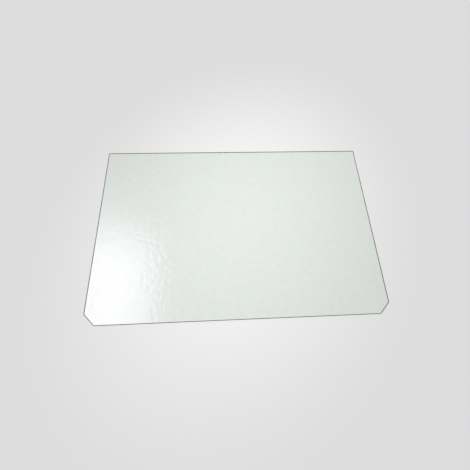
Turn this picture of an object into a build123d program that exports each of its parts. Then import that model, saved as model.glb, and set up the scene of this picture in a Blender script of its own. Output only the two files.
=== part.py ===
"""Crisper drawer cover: one pane of tempered glass with its front corners cut off.

The pane lies flat on its underside, which is the XY plane. X runs across the width, Y from the
front edge to the back edge and Z up. The origin is the middle of the underside.
"""

import os

from build123d import *

# Driving dimensions, in millimetres
WIDTH = 610.0  # side to side
DEPTH = 400.0  # front to back
THICKNESS = 3.2  # face to face
CORNER_CUT = 22.0  # 45 degree cut at each front corner, measured along the front and the side
CUT_END_RADIUS = 4.0  # easing where a cut meets the front edge and the side edge
BACK_CORNER_RADIUS = 3.0  # easing of the square corners at the back
EDGE_LAND = 0.6  # flat strip left halfway up the pencil-ground edge

PARTS_FOLDER = "parts"


def pane_outline():
    """The pane seen from above: a rectangle with cut front corners and every corner eased."""
    with BuildSketch() as outline:
        Rectangle(WIDTH, DEPTH)
        front_corners = outline.vertices().group_by(Axis.Y)[0]
        chamfer(front_corners, CORNER_CUT)
        back_corners = outline.vertices().group_by(Axis.Y)[-1]
        fillet(back_corners, BACK_CORNER_RADIUS)
        cut_ends = outline.vertices().filter_by_position(Axis.Y, -DEPTH, 0)
        fillet(cut_ends, CUT_END_RADIUS)
    return outline.sketch


def glass_pane():
    """The pane with its edge ground round, from each face down to the narrow land between."""
    edge_radius = (THICKNESS - EDGE_LAND) / 2
    with BuildPart() as pane:
        extrude(pane_outline(), amount=THICKNESS)
        edges_by_height = pane.edges().group_by(Axis.Z)
        bottom_rim, top_rim = edges_by_height[0], edges_by_height[-1]
        fillet(bottom_rim + top_rim, edge_radius)
    return pane.part


def main():
    os.makedirs(PARTS_FOLDER, exist_ok=True)
    export_step(glass_pane(), os.path.join(PARTS_FOLDER, "glass_pane.step"))


main()
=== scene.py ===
"""Crisper drawer cover: a pane of pebbled glass lying on a pale floor, seen from above its front edge.

Lengths are in metres and angles in degrees, unless a name says otherwise.
"""

import math

import bpy
from mathutils import Matrix, Vector, noise
from mathutils.geometry import delaunay_2d_cdt


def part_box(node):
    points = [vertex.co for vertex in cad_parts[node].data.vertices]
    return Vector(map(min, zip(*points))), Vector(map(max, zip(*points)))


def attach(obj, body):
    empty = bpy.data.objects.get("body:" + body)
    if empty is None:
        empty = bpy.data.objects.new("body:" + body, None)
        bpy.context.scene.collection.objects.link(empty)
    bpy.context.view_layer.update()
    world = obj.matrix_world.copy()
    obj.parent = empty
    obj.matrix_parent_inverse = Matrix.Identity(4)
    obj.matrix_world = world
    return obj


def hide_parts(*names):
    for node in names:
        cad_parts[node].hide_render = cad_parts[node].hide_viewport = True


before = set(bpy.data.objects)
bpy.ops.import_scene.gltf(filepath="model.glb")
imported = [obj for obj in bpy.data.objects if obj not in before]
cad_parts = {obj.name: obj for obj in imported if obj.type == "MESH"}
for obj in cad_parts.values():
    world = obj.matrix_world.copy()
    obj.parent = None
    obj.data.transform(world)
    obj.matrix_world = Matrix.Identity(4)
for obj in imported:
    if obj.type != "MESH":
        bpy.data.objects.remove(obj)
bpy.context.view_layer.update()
PANE_LOW, PANE_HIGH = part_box("glass_pane")
MM = 0.001
UP = Vector((0.0, 0.0, 1.0))

# The pane's outline and ground edge
HALF_WIDTH = (PANE_HIGH.x - PANE_LOW.x) / 2
HALF_DEPTH = (PANE_HIGH.y - PANE_LOW.y) / 2
THICKNESS = PANE_HIGH.z - PANE_LOW.z
CORNER_CUT = 22.0 * MM  # 45 degree cut at each front corner, measured along the front and the side
CUT_END_RADIUS = 4.0 * MM  # easing where a cut meets the front edge and the side edge
BACK_CORNER_RADIUS = 3.0 * MM  # easing of the square corners at the back
EDGE_LAND = 0.6 * MM  # flat strip left halfway up the pencil-ground edge
EDGE_RADIUS = (THICKNESS - EDGE_LAND) / 2

# How finely the pane's mesh is divided
ARC_STEP = 9.0  # the most that one step round an eased corner turns
EDGE_STEPS = 6  # steps from a face to the land of the ground edge
FACE_SPACING = 1.9 * MM  # the distance between points of the upper face
RIM_SPACING = 2.5 * MM  # about the distance between points along a straight edge
SAME_POINT = 0.002 * MM  # points closer together than this count as one
INSIDE_RIM_ONLY = 1  # the triangulation's mode that fills the rim and nothing outside it

# The pebble pattern rolled into the upper face
PEBBLE_SIZE = 7.0 * MM  # about the distance from one pebble to the next
PEBBLE_DEPTH = 0.40 * MM  # the drop at one pebble size from the nearest pebble's top
PEBBLE_BLEND = 9.0  # how sharply one pebble meets the next
PEBBLE_FADE = 6.0 * MM  # width of the strip inside the rim where the pattern dies out

# Where the camera stands
CAMERA_PLACE = Vector((-25.8, -227.1, 541.9)) * MM
CAMERA_AIM = Vector((3.9, -22.3, 0.0)) * MM
CAMERA_ROLL = 6.2
SENSOR_MM = 36.0
LENS_MM = 20.1
SHIFT_X = -0.0093  # shifts are shares of the picture's width
SHIFT_Y = 0.001
NEAREST_SEEN = 10.0 * MM

# The glass of the faces: its tint, its film and its grain vary in patches of the sizes given
GLASS_IOR = 1.52
FACE_PALE = (0.962, 0.986, 0.963, 1.0)
FACE_DEEP = (0.867, 0.895, 0.864, 1.0)
TINT_SIZE = 10.0 * MM
FACE_CLEARNESS = 1.0
FACE_ROUGHNESS_LOW = 0.13
FACE_ROUGHNESS_HIGH = 0.17
FILM_SIZE = 60.0 * MM
GRAIN_SIZE = 1.5 * MM
GRAIN_DEPTH = 0.003 * MM

# Light that goes straight through crosses two faces, so each has the root of the mean tint
STRAIGHT_COLOUR = tuple(math.sqrt((pale + deep) / 2) for pale, deep in zip(FACE_PALE, FACE_DEEP))

# The glass of the ground edge, which begins at one tilt of the surface and is full at another
# The band is really ground, but its near-black, opaque colour is painted shade: it stands for the dark
# outline that bent and absorbed light makes along the edge
EDGE_PAINTED_SHADE_DEEP = (0.010, 0.023, 0.018, 1.0)
EDGE_PAINTED_SHADE_LIGHT = (0.048, 0.065, 0.059, 1.0)
EDGE_CLEARNESS = 0.0
EDGE_ROUGHNESS_LOW = 0.35
EDGE_ROUGHNESS_HIGH = 0.65
EDGE_FROM_TILT = 6.0
EDGE_FULL_TILT = 10.0

# The floor, with a painted pool of light: its colour dims from the pool's brightest place outwards, over an
# ellipse
FLOOR_GAP = 0.2 * MM  # between the floor and the pane's underside
FLOOR_RADIUS = 6.0
FLOOR_SIDES = 96
FLOOR_ROUGHNESS = 0.9
FLOOR_GLOSS = 0.0
FLOOR_PAINTED_LIT = (0.952, 0.952, 0.947, 1.0)
FLOOR_PAINTED_DIM = (0.72, 0.72, 0.72, 1.0)
FLOOR_PAINTED_LIGHT_CENTRE = Vector((0.005, 0.025, 0.0))
FLOOR_FADE_LONG = 0.59  # half of the ellipse's long axis
FLOOR_FADE_SHORT = 0.455  # half of its short axis
FLOOR_FADE_TURN = 64.0

# The light: strengths are radiance, where 1 is white
DOME_COLOUR = (1.0, 1.0, 1.0, 1.0)
SOFTBOX_COLOUR = (0.87, 0.77, 0.95)  # makes up for the glass's green, so that the highlight is white
SOFTBOX_PLACE = Vector((-0.805, 0.05, 1.365))
SOFTBOX_AIM = Vector((-0.260, -0.148, 0.0))
SOFTBOX_WIDTH = 0.66
SOFTBOX_LENGTH = 1.24
SOFTBOX_CORE_WIDTH = 0.36  # the core has full strength, and the border round it fades to none
SOFTBOX_CORE_LENGTH = 0.50
SOFTBOX_STRENGTH = 5.5

# A lamp's own coordinates run from 0 to 1 along each of its sides
LAMP_MIDDLE = Vector((0.5, 0.5, 0.0))
FULL_LIGHT = (1.0, 1.0, 1.0)
NO_LIGHT = (0.0, 0.0, 0.0)

# How the render follows the light
LIGHT_BOUNCES = 32  # the most that are followed
SURE_BOUNCES = 16  # those that are followed however little light they carry
GLOSSY_BLUR = 0.0  # reflections stay sharp after a soft bounce too


def outline_corners():
    """Each corner of the pane with its easing radius, anticlockwise from above from the back left."""
    cut_x = HALF_WIDTH - CORNER_CUT
    cut_y = CORNER_CUT - HALF_DEPTH
    return [
        (Vector((-HALF_WIDTH, HALF_DEPTH)), BACK_CORNER_RADIUS),
        (Vector((-HALF_WIDTH, cut_y)), CUT_END_RADIUS),
        (Vector((-cut_x, -HALF_DEPTH)), CUT_END_RADIUS),
        (Vector((cut_x, -HALF_DEPTH)), CUT_END_RADIUS),
        (Vector((HALF_WIDTH, cut_y)), CUT_END_RADIUS),
        (Vector((HALF_WIDTH, HALF_DEPTH)), BACK_CORNER_RADIUS),
    ]


def outward(start, end):
    """The direction out of the pane, square to a side that runs anticlockwise from start to end."""
    along = (end - start).normalized()
    return Vector((along.y, -along.x))


def corner_arc(before, corner, after, radius):
    """Points of an eased corner, each with the direction out of the pane there."""
    first_out = outward(before, corner)
    last_out = outward(corner, after)
    turn = first_out.angle(last_out)
    start = math.atan2(first_out.y, first_out.x)
    middle = corner - (first_out + last_out).normalized() * radius / math.cos(turn / 2)
    steps = math.ceil(turn / math.radians(ARC_STEP))
    arc = []
    for step in range(steps + 1):
        angle = start + turn * step / steps
        out = Vector((math.cos(angle), math.sin(angle)))
        arc.append((middle + out * radius, out))
    return arc


def straight_run(start, end):
    """Points between two eased corners, each with the direction out of the pane there."""
    (start_point, out), (end_point, _) = start, end
    pieces = round((end_point - start_point).length / RIM_SPACING)
    return [(start_point.lerp(end_point, piece / pieces), out) for piece in range(1, pieces)]


def rim_points():
    """Points all round the pane's outline, each with the direction out of the pane there."""
    corners = outline_corners()
    count = len(corners)
    arcs = []
    for index, (corner, radius) in enumerate(corners):
        before = corners[index - 1][0]
        after = corners[(index + 1) % count][0]
        arcs.append(corner_arc(before, corner, after, radius))
    rim = []
    for index, arc in enumerate(arcs):
        rim += arc
        rim += straight_run(arc[-1], arcs[(index + 1) % count][0])
    return rim


def edge_profile():
    """Steps up the pencil-ground edge: how far each is in from the outline, and how high."""
    lower = []
    for step in range(EDGE_STEPS + 1):
        turn = math.radians(90) * step / EDGE_STEPS
        lower.append((EDGE_RADIUS * (1 - math.sin(turn)), EDGE_RADIUS * (1 - math.cos(turn))))
    upper = [(inset, THICKNESS - height) for inset, height in reversed(lower)]
    return lower + upper


def depth_inside(point):
    """How far a point lies in from the pane's nearest side."""
    corners = [corner for corner, _ in outline_corners()]
    depths = []
    for index, corner in enumerate(corners):
        depths.append((corner - point).dot(outward(corners[index - 1], corner)))
    return min(depths)


def face_points():
    """Points in staggered rows over the upper face, clear of its rim."""
    clear = EDGE_RADIUS + FACE_SPACING / 2
    row_height = FACE_SPACING * math.sqrt(3) / 2
    rows = math.ceil(HALF_DEPTH / row_height)
    columns = math.ceil(HALF_WIDTH / FACE_SPACING)
    points = []
    for row in range(-rows, rows + 1):
        stagger = FACE_SPACING / 2 * (row % 2)
        for column in range(-columns, columns + 1):
            point = Vector((column * FACE_SPACING + stagger, row * row_height))
            if depth_inside(point) > clear:
                points.append(point)
    return points


def pebble_drop(point):
    """How far the upper face dips below full thickness: not at all at the rim or on pebble tops."""
    distances, _ = noise.voronoi(point.to_3d() / PEBBLE_SIZE)
    closeness = sum(math.exp(-PEBBLE_BLEND * distance) for distance in distances)
    valley = max(-math.log(closeness) / PEBBLE_BLEND, 0.0)
    from_rim = max(depth_inside(point) - EDGE_RADIUS, 0.0)
    return PEBBLE_DEPTH * valley**2 * min(from_rim / PEBBLE_FADE, 1.0)


def edge_rings(rim, profile):
    """Points of the ground edge: a ring round the rim for each step of its profile."""
    points = []
    for inset, height in profile:
        for point, out in rim:
            place = point - out * inset
            points.append((place.x, place.y, height))
    return points


def ring_faces(rings, count):
    """Faces that join each ring of count points to the ring above it."""
    faces = []
    for ring in range(rings - 1):
        lower, upper = ring * count, (ring + 1) * count
        for index in range(count):
            following = (index + 1) % count
            faces.append((lower + index, lower + following, upper + following, upper + index))
    return faces


def pebbled_face(top_ring):
    """The upper face: its points inside the top ring, and triangles that count the ring's points first."""
    count = len(top_ring)
    points = [Vector((x, y)) for x, y, _ in top_ring] + face_points()
    rim_loop = list(range(count))
    placed, _, triangles, *_ = delaunay_2d_cdt(points, [], [rim_loop], INSIDE_RIM_ONLY, SAME_POINT)
    pebbled = [(place.x, place.y, THICKNESS - pebble_drop(place)) for place in placed[count:]]
    return pebbled, triangles


def pane_mesh():
    """The whole pane: flat underside, ground edge in rings, and pebbled upper face."""
    rim = rim_points()
    profile = edge_profile()
    count = len(rim)
    edge = edge_rings(rim, profile)
    top_start = len(edge) - count
    pebbled, triangles = pebbled_face(edge[top_start:])
    underside = list(reversed(range(count)))
    upper_face = [[top_start + index for index in triangle] for triangle in triangles]
    mesh = bpy.data.meshes.new("glass_pane_visual")
    mesh.from_pydata(edge + pebbled, [], [underside] + ring_faces(len(profile), count) + upper_face)
    mesh.shade_smooth()
    mesh.polygons[0].use_smooth = False  # the underside is flat up to its rim
    return mesh


def set_inputs(tree, node, inputs):
    """Link each input that is named to another node's output, or set it to a plain value."""
    for name, source in inputs.items():
        if isinstance(source, bpy.types.NodeSocket):
            tree.links.new(source, node.inputs[name])
        else:
            node.inputs[name].default_value = source


def add_node(tree, kind, inputs, **settings):
    """A new shader node. Its settings come before its inputs, because they decide which inputs it has."""
    node = tree.nodes.new("ShaderNode" + kind)
    for name, value in settings.items():
        setattr(node, name, value)
    set_inputs(tree, node, inputs)
    return node


def add_noise(tree, place, size):
    """Soft noise between 0 and 1, in patches of about the given size."""
    return add_node(tree, "TexNoise", {"Vector": place, "Scale": 1 / size}).outputs["Fac"]


def add_mix(tree, kind, share, first, second):
    """A number or colour that goes from first to second as the share goes from 0 to 1."""
    inputs = {"Factor": share, "A": first, "B": second}
    return add_node(tree, "Mix", inputs, data_type=kind).outputs["Result"]


def edge_share(tree):
    """0 on the pane's faces and 1 on its ground edge, told apart by how far the surface tilts."""
    surface = add_node(tree, "NewGeometry", {})
    split = add_node(tree, "SeparateXYZ", {"Vector": surface.outputs["Normal"]})
    upright = add_node(tree, "Math", {0: split.outputs["Z"]}, operation="ABSOLUTE")
    tilts = {
        "Value": upright.outputs["Value"],
        "From Min": math.cos(math.radians(EDGE_FROM_TILT)),
        "From Max": math.cos(math.radians(EDGE_FULL_TILT)),
    }
    return add_node(tree, "MapRange", tilts).outputs["Result"]


def let_light_through(tree, shader):
    """The dome's light on its way to the floor and the lamp's light go straight through the pane.

    So the floor under it is lit evenly. What the camera sees is still bent and mirrored by the glass.
    """
    path = add_node(tree, "LightPath", {})
    straight = add_node(tree, "BsdfTransparent", {"Color": STRAIGHT_COLOUR}).outputs["BSDF"]
    surface = shader.outputs["BSDF"]
    for ray in ("Is Diffuse Ray", "Is Shadow Ray"):
        choice = add_node(tree, "MixShader", {0: path.outputs[ray], 1: surface, 2: straight})
        surface = choice.outputs["Shader"]
    set_inputs(tree, tree.nodes["Material Output"], {"Surface": surface})


def glass_material():
    """Pale green glass with a faint film on its faces, and a ground edge painted near-black as shade."""
    material = bpy.data.materials.new("pebbled_glass")
    material.use_nodes = True
    tree = material.node_tree
    shader = tree.nodes["Principled BSDF"]
    place = add_node(tree, "TexCoord", {}).outputs["Object"]
    film = add_noise(tree, place, FILM_SIZE)
    grain = add_noise(tree, place, GRAIN_SIZE)
    cloud = add_noise(tree, place, TINT_SIZE)
    face_colour = add_mix(tree, "RGBA", cloud, FACE_PALE, FACE_DEEP)
    # painted shade: the ground edge's near-black colour stands for the dark outline that light makes there
    edge_painted_shade = add_mix(tree, "RGBA", grain, EDGE_PAINTED_SHADE_DEEP, EDGE_PAINTED_SHADE_LIGHT)
    face_roughness = add_mix(tree, "FLOAT", film, FACE_ROUGHNESS_LOW, FACE_ROUGHNESS_HIGH)
    edge_roughness = add_mix(tree, "FLOAT", grain, EDGE_ROUGHNESS_LOW, EDGE_ROUGHNESS_HIGH)
    ripple = add_node(tree, "Bump", {"Height": grain, "Distance": GRAIN_DEPTH})
    edge = edge_share(tree)
    finish = {
        "IOR": GLASS_IOR,
        "Base Color": add_mix(tree, "RGBA", edge, face_colour, edge_painted_shade),
        "Roughness": add_mix(tree, "FLOAT", edge, face_roughness, edge_roughness),
        "Transmission Weight": add_mix(tree, "FLOAT", edge, FACE_CLEARNESS, EDGE_CLEARNESS),
        "Normal": ripple.outputs["Normal"],
    }
    set_inputs(tree, shader, finish)
    let_light_through(tree, shader)
    return material


def floor_material():
    """Pale matt paper with a painted pool of light: a little dimmer away from its brightest place."""
    material = bpy.data.materials.new("floor")
    material.use_nodes = True
    tree = material.node_tree
    ellipse = {
        "Vector": add_node(tree, "TexCoord", {}).outputs["Object"],
        "Location": FLOOR_PAINTED_LIGHT_CENTRE,
        "Rotation": (0.0, 0.0, math.radians(FLOOR_FADE_TURN)),
        "Scale": (FLOOR_FADE_LONG, FLOOR_FADE_SHORT, 1.0),
    }
    # painted light: the floor's colour is lightest inside this ellipse and dims outwards
    painted_light_pool = add_node(tree, "Mapping", ellipse, vector_type="TEXTURE")
    distance = add_node(tree, "VectorMath", {0: painted_light_pool.outputs["Vector"]}, operation="LENGTH")
    fade = add_node(tree, "MapRange", {"Value": distance.outputs["Value"]}, interpolation_type="SMOOTHSTEP")
    finish = {
        "Base Color": add_mix(tree, "RGBA", fade.outputs["Result"], FLOOR_PAINTED_LIT, FLOOR_PAINTED_DIM),
        "Roughness": FLOOR_ROUGHNESS,
        "Specular IOR Level": FLOOR_GLOSS,
    }
    set_inputs(tree, tree.nodes["Principled BSDF"], finish)
    return material


def floor_object():
    """A wide pale disc just under the pane."""
    height = PANE_LOW.z - FLOOR_GAP
    vertices = []
    for side in range(FLOOR_SIDES):
        angle = math.tau * side / FLOOR_SIDES
        vertices.append((FLOOR_RADIUS * math.cos(angle), FLOOR_RADIUS * math.sin(angle), height))
    mesh = bpy.data.meshes.new("floor")
    mesh.from_pydata(vertices, [], [list(range(FLOOR_SIDES))])
    mesh.materials.append(floor_material())
    floor = bpy.data.objects.new("floor", mesh)
    bpy.context.scene.collection.objects.link(floor)
    return floor


def fading_border(tree):
    """A lamp's brightness over its face: full in the core, and fading along both sides to its edge."""
    place = add_node(tree, "NewGeometry", {}).outputs["Parametric"]
    offset = add_node(tree, "VectorMath", {0: place, 1: LAMP_MIDDLE}, operation="SUBTRACT")
    from_middle = add_node(tree, "VectorMath", {0: offset.outputs["Vector"]}, operation="ABSOLUTE")
    core = Vector((SOFTBOX_CORE_WIDTH / SOFTBOX_WIDTH, SOFTBOX_CORE_LENGTH / SOFTBOX_LENGTH, 0.0))
    fade = {
        "Vector": from_middle.outputs["Vector"],
        "From Min": core * LAMP_MIDDLE,
        "From Max": LAMP_MIDDLE,
        "To Min": FULL_LIGHT,
        "To Max": NO_LIGHT,
    }
    border = add_node(tree, "MapRange", fade, data_type="FLOAT_VECTOR")
    split = add_node(tree, "SeparateXYZ", {"Vector": border.outputs["Vector"]})
    sides = {0: split.outputs["X"], 1: split.outputs["Y"]}
    return add_node(tree, "Math", sides, operation="MULTIPLY").outputs["Value"]


def softbox():
    """A lamp with a fading border that makes a highlight in the glass and adds nothing to the floor."""
    lamp = bpy.data.lights.new("softbox", "AREA")
    lamp.shape = "RECTANGLE"
    lamp.size = SOFTBOX_WIDTH
    lamp.size_y = SOFTBOX_LENGTH
    lamp.color = SOFTBOX_COLOUR
    lamp.energy = SOFTBOX_STRENGTH * math.pi * SOFTBOX_WIDTH * SOFTBOX_LENGTH
    lamp.use_nodes = True
    tree = lamp.node_tree
    set_inputs(tree, tree.nodes["Emission"], {"Strength": fading_border(tree)})
    lamp_object = bpy.data.objects.new("softbox", lamp)
    turn = UP.rotation_difference(SOFTBOX_PLACE - SOFTBOX_AIM).to_matrix().to_4x4()
    lamp_object.matrix_world = Matrix.Translation(SOFTBOX_PLACE) @ turn
    lamp_object.visible_diffuse = False
    lamp_object.visible_transmission = False
    lamp_object.visible_camera = False
    bpy.context.scene.collection.objects.link(lamp_object)


def dome():
    """An even dome of soft light."""
    world = bpy.data.worlds.new("studio")
    world.use_nodes = True
    world.cycles.sampling_method = "NONE"
    world.node_tree.nodes["Background"].inputs["Color"].default_value = DOME_COLOUR
    bpy.context.scene.world = world


def camera():
    """The camera, rolled a little, at the photograph's viewpoint."""
    lens = bpy.data.cameras.new("camera")
    lens.sensor_width = SENSOR_MM
    lens.lens = LENS_MM
    lens.shift_x = SHIFT_X
    lens.shift_y = SHIFT_Y
    lens.clip_start = NEAREST_SEEN
    camera_object = bpy.data.objects.new("camera", lens)
    aim = (CAMERA_AIM - CAMERA_PLACE).to_track_quat("-Z", "Y").to_matrix().to_4x4()
    roll = Matrix.Rotation(math.radians(CAMERA_ROLL), 4, "Z")
    camera_object.matrix_world = Matrix.Translation(CAMERA_PLACE) @ aim @ roll
    bpy.context.scene.collection.objects.link(camera_object)
    bpy.context.scene.camera = camera_object


def render_settings():
    """Light paths long enough for glass, and colours that render as they are written."""
    scene = bpy.context.scene
    scene.cycles.max_bounces = LIGHT_BOUNCES
    scene.cycles.glossy_bounces = LIGHT_BOUNCES
    scene.cycles.transmission_bounces = LIGHT_BOUNCES
    scene.cycles.min_light_bounces = SURE_BOUNCES
    scene.cycles.min_transparent_bounces = SURE_BOUNCES
    scene.cycles.blur_glossy = GLOSSY_BLUR
    scene.view_settings.view_transform = "Standard"


def main():
    """The glass pane, and the floor, light and camera that show it."""
    mesh = pane_mesh()
    mesh.materials.append(glass_material())
    pane = bpy.data.objects.new("glass_pane_visual", mesh)
    bpy.context.scene.collection.objects.link(pane)
    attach(pane, "root")
    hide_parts("glass_pane")
    floor_object()
    dome()
    softbox()
    camera()
    render_settings()


main()
